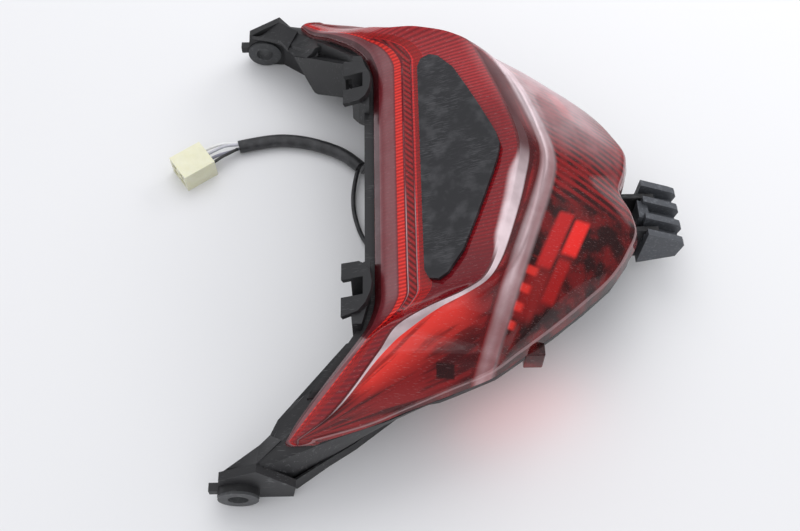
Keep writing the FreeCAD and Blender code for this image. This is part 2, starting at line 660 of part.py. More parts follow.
def harness():
    tube("harness_sleeve", SLEEVE_ROUTE, size("sleeve_width"))
    tube("left_lead", LEFT_LEAD_ROUTE, size("lead_width"))
    tube("right_lead", RIGHT_LEAD_ROUTE, size("lead_width"))
    for name, route in zip(WIRE_NAMES, WIRE_ROUTES):
        tube(name, route, size("wire_width"))


def connector():
    """The plug's housing: a block with two rows of cavities, and its metal terminals."""
    long, wide, high = size("plug_long"), size("plug_wide"), size("plug_high")
    body = DOC.addObject("Part::Box", "connector_body")
    body.setExpression("Length", "Sizes.plug_long")
    body.setExpression("Width", "Sizes.plug_wide")
    body.setExpression("Height", "Sizes.plug_high")
    cavities = []
    for row in (0.28, 0.72):
        for column in (0.28, 0.72):
            cavity = DOC.addObject("Part::Box", "connector_cavity")
            cavity.Length, cavity.Width, cavity.Height = 14, 4.6, 3.6
            cavity.Placement = Placement(Vector(-1, wide * column - 2.3, high * row - 1.8), Rotation())
            cavities.append(cavity)
    holes = DOC.addObject("Part::MultiFuse", "connector_cavities")
    holes.Shapes = cavities
    shell = DOC.addObject("Part::Cut", "connector_housing")
    shell.Base = body
    shell.Tool = holes
    DOC.recompute()
    turn = Rotation(Vector(0, 0, 1), PLUG_ANGLE)
    corner = turn.multVec(Vector(-long / 2, -wide / 2, 0))
    place(shell, PLUG_CENTRE[0] + corner.x, PLUG_CENTRE[1] + corner.y, 0, turn)
    keep(shell, "connector_housing")
    terminals = []
    for row in (0.28, 0.72):
        for column in (0.28, 0.72):
            y, z = wide * column, high * row
            terminals.append(box(3, 13, y - 1.4, y + 1.4, z - 0.4, z + 0.4))
    metal = Part.makeCompound(terminals)
    metal.rotate(Vector(0, 0, 0), Vector(0, 0, 1), PLUG_ANGLE)
    metal.translate(Vector(PLUG_CENTRE[0] + corner.x, PLUG_CENTRE[1] + corner.y, 0))
    shape_node("connector_terminals", metal)


# ---------------------------------------------------------------- the whole light

def build():
    outer_lens()
    lens_seal()
    deck_plate("panel_tape", 0, size("tape_thick"), 0.94)
    deck_plate("centre_panel", size("tape_thick"), size("panel_thick"), 1)
    rear_housing()
    rear_cushion()
    reflector_bezel()
    reflector_screws()
    for name, side in SIDES.items():
        wing_reflector(name, side)
        bulb_holder(name, side)
        bulb_parts(name, side)
        contact_spring(name, side)
        filaments(name, side)
        arm_bush(name, side)
    harness()
    connector()


def check_and_export():
    """Stops on any failed feature or bad shape, then writes one file per sub-part."""
    DOC.recompute()
    failed = [obj.Name for obj in DOC.Objects if "Invalid" in obj.State or "Error" in obj.State]
    failed += [node.Label for node in NODES if node.Shape.isNull() or not node.Shape.isValid()]
    if failed:
        raise RuntimeError("failed: " + ", ".join(failed))
    os.makedirs("parts", exist_ok=True)
    for node in NODES:
        node.Shape.exportStep("parts/" + node.Label + ".step")
        if node.Shape.Volume < 0:
            raise RuntimeError("inside out: " + node.Label)


build()
check_and_export()
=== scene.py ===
import math

import bmesh
import bpy
import numpy as np
from mathutils import Matrix, Vector


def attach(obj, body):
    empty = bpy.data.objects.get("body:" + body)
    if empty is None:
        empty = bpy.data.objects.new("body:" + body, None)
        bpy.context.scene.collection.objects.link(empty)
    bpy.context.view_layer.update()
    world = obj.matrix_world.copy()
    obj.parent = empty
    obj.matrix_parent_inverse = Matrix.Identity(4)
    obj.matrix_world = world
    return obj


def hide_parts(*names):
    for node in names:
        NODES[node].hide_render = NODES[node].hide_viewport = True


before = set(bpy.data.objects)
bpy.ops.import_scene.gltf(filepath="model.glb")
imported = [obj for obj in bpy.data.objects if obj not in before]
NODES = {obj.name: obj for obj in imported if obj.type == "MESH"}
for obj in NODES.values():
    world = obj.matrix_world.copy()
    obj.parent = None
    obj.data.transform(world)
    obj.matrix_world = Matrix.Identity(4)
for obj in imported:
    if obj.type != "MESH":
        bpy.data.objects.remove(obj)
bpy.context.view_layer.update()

# Motorcycle tail light. Lengths in the tables are millimetres in the CAD's drawing frame, whose zero lies
# ORIGIN_SHIFT behind the model's origin, and every mesh is made in metres.
MM = 0.001
ORIGIN_SHIFT = 3.85
SIDES = {"left": -1, "right": 1}


def point(x, y, z):
    """A drawing-frame point, in metres in the model's frame."""
    return Vector(((x + ORIGIN_SHIFT) * MM, y * MM, z * MM))


# ---------------------------------------------------------------- camera

CAMERA_ELEVATION = 60.0
CAMERA_TURN = -0.7
CAMERA_ROLL = -0.45
CAMERA_DISTANCE = 0.560
CAMERA_AIM = point(-30, 0, -16.8)
CAMERA_LENS = 46.73


def make_camera():
    up_angle, turn, roll = (math.radians(a) for a in (CAMERA_ELEVATION, CAMERA_TURN, CAMERA_ROLL))
    level = math.cos(up_angle)
    back = Vector((math.sin(turn) * level, -math.cos(turn) * level, math.sin(up_angle)))
    right = Vector((math.cos(turn), math.sin(turn), 0))
    up = back.cross(right)
    rolled_right = right * math.cos(roll) + up * math.sin(roll)
    rolled_up = up * math.cos(roll) - right * math.sin(roll)
    data = bpy.data.cameras.new("camera")
    data.lens = CAMERA_LENS
    camera = bpy.data.objects.new("camera", data)
    bpy.context.scene.collection.objects.link(camera)
    turn_matrix = Matrix((rolled_right, rolled_up, back)).transposed().to_4x4()
    camera.matrix_world = Matrix.Translation(CAMERA_AIM + back * CAMERA_DISTANCE) @ turn_matrix
    bpy.context.scene.camera = camera


make_camera()

# ---------------------------------------------------------------- harness routes

SLEEVE_ROUTE = [(-50.5, 49.5, 5), (-57.5, 57.5, 4.4), (-69, 64, 3.8), (-84, 69, 3.7), (-101, 70, 3.7),
                (-117.7, 65.5, 3.9)]
LEFT_LEAD_ROUTE = [(-51.9, 48.2, 4.6), (-54.5, 38, 2.8), (-54.5, 23, 2.6), (-51, 9, 2.6), (-45.5, -2, 4),
                   (-43.5, -14, 8), (-45, -25, 13), (-46, -33, 19), (-45, -38, 25), (-38, -38, 25)]
RIGHT_LEAD_ROUTE = [(-49.2, 50.7, 5.2), (-48.5, 41.5, 11), (-49.5, 38.2, 18), (-46, 38, 25), (-38, 38, 25)]
WIRE_ROUTES = {
    "wire_white": [(-117.2, 67.4, 4.6), (-123.4, 66.8, 5.8), (-129.8, 65, 6.8), (-136.5, 61.1, 7)],
    "wire_pale_grey": [(-117.6, 66, 5.4), (-123, 64.6, 7.2), (-128.6, 62, 7.6), (-134.6, 58.3, 7)],
    "wire_grey": [(-117.8, 65, 3), (-123, 61.9, 4), (-127.8, 59.1, 6), (-132.6, 55.5, 7)],
    "wire_black": [(-118.3, 63.6, 4.8), (-122.6, 59.8, 6), (-126.6, 56.4, 7.2), (-130.7, 52.8, 7)],
}
SLEEVE_WIDTH = 7.1
LEAD_WIDTH = 2.4
WIRE_WIDTH = 1.7


def cord_curve(name, route, width):
    """A round cord along its route. Its thickness is in the points' radius, so the bevel is 1."""
    data = bpy.data.curves.new(name, "CURVE")
    data.dimensions = "3D"
    spline = data.splines.new("NURBS")
    spline.points.add(len(route) - 1)
    for target, place in zip(spline.points, route):
        target.co = (*point(*place), 1)
        target.radius = width / 2 * MM
    spline.order_u = 3
    spline.use_endpoint_u = True
    spline.resolution_u = 12
    data.bevel_depth = 1
    data.bevel_resolution = 6
    data.use_fill_caps = True
    piece = bpy.data.objects.new(name, data)
    bpy.context.scene.collection.objects.link(piece)
    return piece


sleeve = cord_curve("sleeve", SLEEVE_ROUTE, SLEEVE_WIDTH)
left_lead = cord_curve("lead_left", LEFT_LEAD_ROUTE, LEAD_WIDTH)
right_lead = cord_curve("lead_right", RIGHT_LEAD_ROUTE, LEAD_WIDTH)
wires = {name: cord_curve(name + "_soft", route, WIRE_WIDTH) for name, route in WIRE_ROUTES.items()}

for piece, node, slot in ((sleeve, "harness_sleeve", "sleeve_vinyl"), (left_lead, "left_lead", "lead_black"),
                          (right_lead, "right_lead", "lead_black")):
    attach(piece, "lamp")
    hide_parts(node)
for name, piece in wires.items():
    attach(piece, "lamp")
    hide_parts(name)

# ---------------------------------------------------------------- lens

# The lens's creases, as (x, |y|, z) points from the middle out to the tip of its wing.
CREASES = [
    [(-42, 0, 59), (-42, 62, 59), (-45.5, 76, 59.5), (-50.5, 83.5, 58.5), (-63.5, 98, 51),
     (-77.5, 113, 39.5), (-82, 120, 36.5)],
    [(-42, 0, 62), (-42, 62, 62), (-45.5, 76, 62.5), (-50.5, 83.5, 61.5), (-63.5, 98, 54),
     (-77.5, 113, 42.5), (-82, 120, 39.5)],
    [(-38, 0, 66.5), (-38, 62, 66.5), (-41.5, 76, 66.5), (-46.5, 83.5, 65.5), (-60, 98, 57.5),
     (-75, 113, 44.5), (-80.5, 120, 40.8)],
    [(-20, 0, 75.8), (-20, 64, 75.8), (-24, 72, 76.5), (-32, 78, 75.5), (-42, 84, 71.5), (-48, 91, 66),
     (-66, 108, 49.6), (-79, 120, 41.4)],
    [(23.5, 0, 92.2), (19.5, 22, 91), (13.5, 43, 88.7), (9, 57, 87), (4, 66, 87), (-5, 72, 86.5),
     (-20, 78, 84), (-34, 84, 77), (-40.5, 91, 70), (-64, 112, 47), (-77, 120, 41.8)],
    [(33, 0, 86), (29.5, 18, 86), (25, 33, 86), (19.5, 48, 85.5), (14, 59, 84.5), (8, 66, 84),
     (-1, 72, 83.5), (-13, 78, 81), (-26, 85, 75.5), (-38, 92, 67), (-62, 112, 46.2), (-75, 120, 42)],
    [(41, 0, 79.5), (37.5, 20, 80), (33, 35, 80), (28, 48, 78.5), (22.5, 60, 74), (18, 71, 68),
     (13.5, 84, 60), (10.5, 91.5, 52), (-12, 101, 49.5), (-47, 114, 45), (-72, 120, 42)],
    [(76.5, 0, 51), (80.5, 12, 51), (82, 21, 50.5), (76, 35, 50.5), (66.5, 48, 50.5), (53, 60, 50),
     (38, 72, 49.5), (21.5, 84, 49), (10, 92, 48), (-9, 100, 47), (-30, 108, 44.6), (-45.5, 114, 43),
     (-69, 120, 41.6)],
    [(78, 0, 42), (82, 12, 42), (84, 21, 42), (77.5, 35, 42), (68, 48, 42), (54.5, 60, 42),
     (39.5, 72, 42), (23, 84, 42), (11.5, 92, 42), (-7.5, 100, 42), (-28.5, 108, 42), (-44, 114, 41),
     (-67, 120, 38)],
]
# How far each crease is rounded to either side, and how finely each face between two creases is cut.
ROUNDING = [0, 0.8, 2.2, 3.0, 1.0, 3.0, 9.0, 1.6, 0]
FACE_CUTS = [2, 3, 44, 12, 5, 6, 14, 4]
FACE_CROWN = [0, 0, 0, 0, 0, 0.5, 1.6, 0]
FILLET_CUTS = 7
FRONT_FACE = 2
# A rounding takes at most this share of a short face, and this much of the crease count.
ROUNDING_SHARE = 0.42
FILLET_ACROSS = 0.02
# Faces shorter than this are crowned less.
FULL_CROWN_LENGTH = 30
# The two clip lugs under the lens's rim count as its last crease.
LUG_ACROSS = 8.0
LUG_LOW = (25.5, 76, 28)
LUG_HIGH = (34.5, 82, 42)
LUG_EDGE = 0.8
# Beads along the front, as (share of the face, height), which die out towards BEAD_END.
BEADS = ((0.60, 0.5), (0.835, 0.5))
BEAD_WIDTH = 0.022
BEAD_END = 68
BEAD_FADE = 10
SHARP_ANGLE = 40
LENS_WALL = 2.2
LENS_END = 120.0
LENS_TIP = 2.1
TIP_POINT = 0.02
STATION_STEP = 1.0
TIP_STEPS = 6


def smooth(xs, values, x):
    """Monotone cubic interpolation, which keeps flat runs flat."""
    steps = np.diff(xs)
    slopes = np.diff(values) / steps
    tangents = np.zeros(len(xs))
    for i in range(1, len(xs) - 1):
        if slopes[i - 1] * slopes[i] > 0:
            w0, w1 = 2 * steps[i] + steps[i - 1], steps[i] + 2 * steps[i - 1]
            tangents[i] = (w0 + w1) / (w0 / slopes[i - 1] + w1 / slopes[i])
    tangents[-1] = slopes[-1]
    i = min(max(int(np.searchsorted(xs, x)) - 1, 0), len(steps) - 1)
    t = (x - xs[i]) / steps[i]
    share = 2 * t ** 3 - 3 * t ** 2 + 1
    place = share * values[i] + (1 - share) * values[i + 1]
    return place + steps[i] * (t * (t - 1) ** 2 * tangents[i] + t ** 2 * (t - 1) * tangents[i + 1])


def crease_points(y):
    """The (x, z) of each crease at a distance y from the middle."""
    points = []
    for line in CREASES:
        xs, ys, zs = (np.array(column, float) for column in zip(*line))
        points.append(np.array((smooth(ys, xs, y), smooth(ys, zs, y))))
    return points


def lens_section(y):
    """The outer profile at y as (x, z, across), where across counts the creases passed."""
    keys = crease_points(y)
    lengths = [float(np.linalg.norm(b - a)) for a, b in zip(keys, keys[1:])]
    cuts = [0.0]
    for rounding, before, after in zip(ROUNDING[1:], lengths, lengths[1:]):
        cuts.append(min(rounding, ROUNDING_SHARE * before, ROUNDING_SHARE * after))
    cuts.append(0.0)
    fade = max(0.0, min(1.0, (BEAD_END - y) / BEAD_FADE))
    profile = []
    for face, (a, b) in enumerate(zip(keys, keys[1:])):
        along = (b - a) / lengths[face]
        out = np.array((-along[1], along[0]))
        t0, t1 = cuts[face] / lengths[face], 1 - cuts[face + 1] / lengths[face]
        for i in range(FACE_CUTS[face] + 1):
            t = t0 + (t1 - t0) * i / FACE_CUTS[face]
            share = (t - t0) / (t1 - t0)
            lift = FACE_CROWN[face] * 4 * share * (1 - share) * min(1.0, lengths[face] / FULL_CROWN_LENGTH)
            if face == FRONT_FACE:
                lift += fade * sum(h * math.exp(-((t - place) / BEAD_WIDTH) ** 2) for place, h in BEADS)
            profile.append((*(a + along * t * lengths[face] + out * lift), face + t))
        if face < len(keys) - 2:
            start = b - along * cuts[face + 1]
            finish = b + (keys[face + 2] - b) / lengths[face + 1] * cuts[face + 1]
            for i in range(1, FILLET_CUTS):
                t = i / FILLET_CUTS
                spot = start * (1 - t) ** 2 + b * 2 * t * (1 - t) + finish * t ** 2
                profile.append((*spot, face + 1 + (t - 0.5) * FILLET_ACROSS))
    return np.array(profile)


def inner_profile(profile):
    """The profile moved a wall's thickness inwards, with its feet level with the outer ones."""
    path = profile[:, :2]
    tangent = np.gradient(path, axis=0)
    tangent /= np.linalg.norm(tangent, axis=1)[:, None] + 1e-9
    normal = np.stack((-tangent[:, 1], tangent[:, 0]), axis=1)
    inner = profile.copy()
    inner[:, :2] = path - normal * LENS_WALL
    inner[0, 1], inner[-1, 1] = profile[0, 1], profile[-1, 1]
    return inner


def lens_rings():
    """Closed rings of (x, y, z, across) from the left tip to the right tip."""
    half = list(np.arange(0, LENS_END + 0.01, STATION_STEP))
    rings = []
    for y in half:
        outer = lens_section(y)
        ring = np.vstack((outer, inner_profile(outer)[::-1]))
        rings.append(np.column_stack((ring[:, 0], np.full(len(ring), y), ring[:, 1], ring[:, 2])))
    last = rings[-1]
    middle = last[:, :3].mean(axis=0)
    for i in range(1, TIP_STEPS + 1):
        angle = math.pi / 2 * i / TIP_STEPS
        ring = last.copy()
        ring[:, :3] = middle + (last[:, :3] - middle) * max(math.cos(angle), TIP_POINT)
        ring[:, 1] = LENS_END + LENS_TIP * math.sin(angle)
        rings.append(ring)
    left = [ring * np.array((1, -1, 1, 1)) for ring in rings[:0:-1]]
    return left + rings


def add_block(bm, low, high, bevel):
    """A box with rounded edges, in drawing millimetres."""
    verts = bmesh.ops.create_cube(bm, size=1)["verts"]
    a, b = point(*low), point(*high)
    for v in verts:
        v.co = Vector([(a[i] + b[i]) / 2 + v.co[i] * (b[i] - a[i]) for i in range(3)])
    edges = list({e for v in verts for e in v.link_edges})
    bmesh.ops.bevel(bm, geom=edges, offset=bevel * MM, segments=3, affect="EDGES", profile=0.6)


def finish_mesh(bm, name, sharp_degrees):
    mesh = bpy.data.meshes.new(name)
    bmesh.ops.recalc_face_normals(bm, faces=bm.faces)
    bm.to_mesh(mesh)
    bm.free()
    mesh.shade_smooth()
    mesh.set_sharp_from_angle(angle=math.radians(sharp_degrees))
    piece = bpy.data.objects.new(name, mesh)
    bpy.context.scene.collection.objects.link(piece)
    return piece


def make_lens():
    """The lens's shell with its two lugs, whose points know their crease count and their skin."""
    bm = bmesh.new()
    across = bm.verts.layers.float.new("across")
    inner = bm.verts.layers.float.new("inner")
    rows = []
    for ring in lens_rings():
        row = []
        for i, (x, y, z, value) in enumerate(ring):
            vert = bm.verts.new(point(x, y, z))
            vert[across] = value
            vert[inner] = float(i >= len(ring) // 2)
            row.append(vert)
        rows.append(row)
    for a, b in zip(rows, rows[1:]):
        for i in range(len(a)):
            j = (i + 1) % len(a)
            bm.faces.new((a[i], a[j], b[j], b[i]))
    bm.faces.new(rows[0])
    bm.faces.new(rows[-1])
    for side in SIDES.values():
        y0, y1 = sorted((side * LUG_LOW[1], side * LUG_HIGH[1]))
        known = len(bm.verts)
        add_block(bm, (LUG_LOW[0], y0, LUG_LOW[2]), (LUG_HIGH[0], y1, LUG_HIGH[2]), LUG_EDGE)
        bm.verts.ensure_lookup_table()
        for vert in bm.verts[known:]:
            vert[across] = LUG_ACROSS
    return finish_mesh(bm, "lens_shell", SHARP_ANGLE)


lens = make_lens()
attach(lens, "lamp")
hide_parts("outer_lens")

# ---------------------------------------------------------------- materials

# A colour Mix node has sockets of other kinds first, under the same names.
MIX_FACTOR, MIX_FIRST, MIX_SECOND, MIX_RESULT = 0, 6, 7, 2
# A scratch's length and height in its widths, and how softly it ends.
SCRATCH_LENGTH = 14
SCRATCH_HEIGHT = 6
SCRATCH_EDGE = 0.06


class Paint:
    """A material's node tree, with textures measured in millimetres of the model's frame."""

    def __init__(self, name):
        self.material = bpy.data.materials.new(name)
        self.material.use_nodes = True
        self.tree = self.material.node_tree
        self.shader = self.tree.nodes["Principled BSDF"]
        self.output = self.tree.nodes["Material Output"]
        coords = self.tree.nodes.new("ShaderNodeTexCoord")
        scale = self.tree.nodes.new("ShaderNodeVectorMath")
        scale.operation = "SCALE"
        scale.inputs["Scale"].default_value = 1 / MM
        self.tree.links.new(coords.outputs["Object"], scale.inputs[0])
        self.place = scale.outputs[0]

    def fill(self, socket, value):
        """Links a socket, or sets it when the value is plain."""
        if isinstance(value, bpy.types.NodeSocket):
            self.tree.links.new(value, socket)
        elif isinstance(value, tuple) and len(value) == 3 and socket.type == "RGBA":
            socket.default_value = (*value, 1)
        else:
            socket.default_value = value

    def math(self, operation, *values, clamp=False):
        node = self.tree.nodes.new("ShaderNodeMath")
        node.operation = operation
        node.use_clamp = clamp
        for socket, value in zip(node.inputs, values):
            self.fill(socket, value)
        return node.outputs[0]

    def times(self, first, second):
        return self.math("MULTIPLY", first, second)

    def most(self, first, *others):
        """The greatest of its values."""
        for other in others:
            first = self.math("MAXIMUM", first, other)
        return first

    def axis(self, name):
        node = self.tree.nodes.new("ShaderNodeSeparateXYZ")
        self.fill(node.inputs[0], self.place)
        return node.outputs[name]

    def fade(self, value, low, high):
        """0 at low, 1 at high, and smooth between."""
        node = self.tree.nodes.new("ShaderNodeMapRange")
        node.interpolation_type = "SMOOTHSTEP"
        self.fill(node.inputs["Value"], value)
        node.inputs["From Min"].default_value = low
        node.inputs["From Max"].default_value = high
        return node.outputs[0]

    def spread(self, value, low, high):
        """Stretches a 0 to 1 value to low to high."""
        node = self.tree.nodes.new("ShaderNodeMapRange")
        self.fill(node.inputs["Value"], value)
        node.inputs["To Min"].default_value = low
        node.inputs["To Max"].default_value = high
        return node.outputs[0]

    def window(self, value, low, high, edge):
        """1 between low and high, 0 outside."""
        rise = self.fade(value, low - edge, low + edge)
        fall = self.fade(value, high + edge, high - edge)
        return self.times(rise, fall)

    def colour(self, factor, first, second):
        """The first colour where factor is 0, and the second where it is 1."""
        node = self.tree.nodes.new("ShaderNodeMix")
        node.data_type = "RGBA"
        self.fill(node.inputs[MIX_FACTOR], factor)
        self.fill(node.inputs[MIX_FIRST], first)
        self.fill(node.inputs[MIX_SECOND], second)
        return node.outputs[MIX_RESULT]

    def texture(self, vector, detail):
        node = self.tree.nodes.new("ShaderNodeTexNoise")
        self.fill(node.inputs["Vector"], vector)
        node.inputs["Scale"].default_value = 1
        node.inputs["Detail"].default_value = detail
        return node.outputs["Fac"]

    def noise(self, size, detail, offset=0.0):
        """Noise whose features are about size millimetres across."""
        mapping = self.tree.nodes.new("ShaderNodeMapping")
        self.fill(mapping.inputs["Vector"], self.place)
        mapping.inputs["Scale"].default_value = (1 / size, 1 / size, 1 / size)
        mapping.inputs["Location"].default_value = (offset, offset, offset)
        return self.texture(mapping.outputs[0], detail)

    def scratches(self, size, turn, amount):
        """Thin straight marks that lie at an angle in plan."""
        mapping = self.tree.nodes.new("ShaderNodeMapping")
        self.fill(mapping.inputs["Vector"], self.place)
        mapping.inputs["Rotation"].default_value = (0, 0, math.radians(turn))
        length, height = size * SCRATCH_LENGTH, size * SCRATCH_HEIGHT
        mapping.inputs["Scale"].default_value = (1 / length, 1 / size, 1 / height)
        marks = self.texture(mapping.outputs[0], 2)
        return self.fade(marks, 1 - amount, 1 - amount + SCRATCH_EDGE)

    def bump(self, height, depth, strength=1.0):
        node = self.tree.nodes.new("ShaderNodeBump")
        node.inputs["Strength"].default_value = strength
        node.inputs["Distance"].default_value = depth * MM
        self.fill(node.inputs["Height"], height)
        return node.outputs[0]

    def attribute(self, name):
        node = self.tree.nodes.new("ShaderNodeAttribute")
        node.attribute_name = name
        return node.outputs["Fac"]

    def zigzag(self, value, pitch):
        """A wave between 0 and 1 that repeats every pitch millimetres."""
        phase = self.math("FRACT", self.math("DIVIDE", value, pitch))
        return self.math("ABSOLUTE", self.math("MULTIPLY_ADD", phase, 2.0, -1.0))

    def noise_of(self, x, y, z, detail):
        """Noise over three values instead of over a place."""
        joined = self.tree.nodes.new("ShaderNodeCombineXYZ")
        for socket, value in zip(joined.inputs, (x, y, z)):
            self.fill(socket, value)
        return self.texture(joined.outputs[0], detail)

    def mix_shaders(self, factor, first, second):
        node = self.tree.nodes.new("ShaderNodeMixShader")
        for socket, value in zip(node.inputs, (factor, first, second)):
            self.fill(socket, value)
        return node.outputs[0]

    def set(self, **values):
        for name, value in values.items():
            self.fill(self.shader.inputs[name.replace("_", " ")], value)


def scuff_marks(paint, amount, start, full):
    """Two sets of crossing scratches, in patches."""
    marks = paint.most(paint.scratches(0.5, 25, amount), paint.scratches(0.35, -50, amount))
    return paint.times(marks, paint.fade(paint.noise(22, 2, offset=3.0), start, full))


def moulded_plastic(name, dark, light, roughness, grain=0.45, grain_depth=0.03, scuff=0.33, dust=0.0):
    """Grained moulding, dusty in patches and lightly scuffed."""
    paint = Paint(name)
    cloud = paint.noise(14, 4)
    grains = paint.noise(grain, 2)
    marks = scuff_marks(paint, scuff, 0.45, 0.62)
    base = paint.colour(paint.spread(cloud, 0.1, 0.9), dark, light)
    film = paint.times(paint.fade(paint.noise(8, 7, offset=6.0), 0.46, 0.70), dust)
    base = paint.colour(film, base, (0.16, 0.16, 0.17))
    worn = tuple(min(1.0, c * 2.2 + 0.05) for c in light)
    paint.set(Base_Color=paint.colour(paint.times(marks, 0.5), base, worn),
              Roughness=paint.spread(cloud, roughness - 0.08, roughness + 0.1), Specular_IOR_Level=0.45)
    paint.set(Normal=paint.bump(grains, grain_depth))
    return paint.material


def rubber(name, colour, roughness):
    """Matt rubber or foam with fine pale dust."""
    paint = Paint(name)
    cloud = paint.noise(6, 5)
    dust = paint.fade(paint.noise(1.6, 3, offset=5.0), 0.5, 0.75)
    dusty = tuple(c * 2.0 + 0.03 for c in colour)
    paint.set(Base_Color=paint.colour(paint.times(dust, 0.55), colour, dusty),
              Roughness=paint.spread(cloud, roughness - 0.12, roughness + 0.12), Specular_IOR_Level=0.4)
    paint.set(Normal=paint.bump(paint.noise(0.5, 3), 0.05))
    return paint.material


def metal(name, colour, roughness):
    """Bare metal, tarnished unevenly."""
    paint = Paint(name)
    cloud = paint.noise(5, 3)
    darker = tuple(c * 0.72 for c in colour)
    paint.set(Base_Color=paint.colour(paint.spread(cloud, 0.0, 0.8), colour, darker),
              Roughness=paint.spread(cloud, roughness * 0.7, roughness * 1.4), Metallic=1.0)
    paint.set(Normal=paint.bump(paint.noise(0.6, 2), 0.01))
    return paint.material


def vinyl(name, colour, roughness):
    """Soft cable covering with a faint bloom and shallow dents."""
    paint = Paint(name)
    cloud = paint.noise(5, 4)
    bloom = tuple(min(0.95, c * 1.5 + 0.02) for c in colour)
    paint.set(Base_Color=paint.colour(paint.fade(cloud, 0.35, 0.75), colour, bloom),
              Roughness=paint.spread(paint.noise(2.5, 3), roughness - 0.08, roughness + 0.14))
    paint.set(Normal=paint.bump(paint.noise(3.0, 2), 0.22))
    return paint.material


def nylon(name):
    """Natural nylon, slightly yellowed and translucent."""
    paint = Paint(name)
    cloud = paint.noise(4, 4)
    paint.set(Base_Color=paint.colour(cloud, (0.86, 0.85, 0.68), (0.74, 0.72, 0.50)),
              Roughness=paint.spread(cloud, 0.3, 0.45), Subsurface_Weight=0.25)
    paint.shader.inputs["Subsurface Radius"].default_value = (0.002, 0.0018, 0.001)
    paint.set(Normal=paint.bump(paint.noise(1.2, 2), 0.02))
    return paint.material


# The housing's coat: how far forward the lens's edge lies, where it turns back and how steeply, the same for
# the taper of the blunt rear end, and the heights and width that the lens closes in.
LEDGE_X, LEDGE_TURN, LEDGE_SLANT = -33.0, 76.0, 0.95
REAR_X, REAR_TURN, REAR_SLANT = 76.0, 35.0, 1.16
COAT_HEIGHTS = (2.2, 57.0, 0.2)
COAT_HALF_WIDTH = 92.0


def lens_closes_in(paint, x, side, z):
    """1 on what lies inside the lens's outline and 0 outside."""
    past_ledge_turn = paint.most(paint.math("SUBTRACT", side, LEDGE_TURN), 0.0)
    ledge = paint.math("SUBTRACT", LEDGE_X, paint.times(past_ledge_turn, LEDGE_SLANT))
    behind_ledge = paint.fade(paint.math("SUBTRACT", x, ledge), -0.6, 0.6)
    between_arms = paint.fade(side, COAT_HALF_WIDTH + 0.2, COAT_HALF_WIDTH - 0.2)
    inside = paint.times(paint.times(behind_ledge, between_arms), paint.window(z, *COAT_HEIGHTS))
    past_rear_turn = paint.most(paint.math("SUBTRACT", side, REAR_TURN), 0.0)
    tapered = paint.math("ADD", x, paint.times(past_rear_turn, REAR_SLANT))
    return paint.times(inside, paint.fade(tapered, REAR_X + 0.5, REAR_X - 0.5))


def housing_plastic():
    """Grained black outside, and a bright metallised coat on the faces that the lens closes in."""
    paint = Paint("housing_plastic")
    x, y, z = (paint.axis(name) for name in "XYZ")
    geometry = paint.tree.nodes.new("ShaderNodeNewGeometry")
    split = paint.tree.nodes.new("ShaderNodeSeparateXYZ")
    paint.fill(split.inputs[0], geometry.outputs["Normal"])
    upward = paint.fade(split.outputs["Z"], 0.02, 0.1)
    rearward = paint.times(paint.fade(split.outputs["X"], 0.4, 0.6), paint.fade(x, 5.0, -5.0))
    inside = lens_closes_in(paint, x, paint.math("ABSOLUTE", y), z)
    coat = paint.times(inside, paint.most(upward, rearward))
    cloud = paint.noise(14, 4)
    marks = scuff_marks(paint, 0.36, 0.4, 0.6)
    black = paint.colour(paint.spread(cloud, 0.1, 0.9), (0.010, 0.010, 0.011), (0.024, 0.024, 0.026))
    black = paint.colour(paint.times(marks, 0.5), black, (0.16, 0.16, 0.165))
    paint.set(Base_Color=paint.colour(coat, black, (0.78, 0.78, 0.79)),
              Roughness=paint.math("MULTIPLY_ADD", coat, -0.22, paint.spread(cloud, 0.42, 0.6)),
              Metallic=paint.times(coat, 0.75))
    paint.set(Normal=paint.bump(paint.noise(0.45, 2), 0.035))
    return paint.material


# The ridge runs back at a slant on both sides and is rounded off in the middle. Its crest and the faces
# beside it are placed by how far behind a parallel line through the origin they lie.
RIDGE_SLANT = 0.392
RIDGE_ROUNDING = 150.0
RIDGE_SETBACK = 1.5
CREST = (41.0, 49.5, 1.0)
WING_END = (43.0, 39.0)
REAR_START = (49.0, 50.5)

# Bands of the lens, as (from, to, soft edge) in creases passed.
FRONT = (1.02, 2.97, 0.02)
LEDGE = (1.05, 1.85, 0.03)
COLUMN = (2.37, 2.55, 0.012)
HATCHED_STRIP = (2.62, 2.80, 0.012)
BRIGHT_STRIP = (2.85, 3.10, 0.012)
DECK = (3.08, 4.0, 0.02)
# The lower rim and the front rim carry painted highlight lines.
LOWER_RIM = (6.985, 7.06, 0.008)
FRONT_RIM = (0.0, 0.6, 0.01)
BEAD_LINES = ((2.595, 2.612, 0.008), (2.825, 2.842, 0.008))
FLUTE_PITCH = 1.9
HATCH_PITCH = 3.2

# The near corner of the deck is darker, over this span of y.
NEAR_CORNER = (-76.0, -50.0, 8.0)

# The streaks in a wing's side fan out from this (x, |y|), some of them painted as lit over a span of their
# reach, and a dark window is let into them.
FAN_TIP = (-76.0, 122.0)
FAN_STREAKS = 26.0
FAN_REACH = (36.0, 92.0, 8.0)
WING_WINDOW = ((-12.0, -4.0, 0.6), (92.5, 97.5, 0.6))
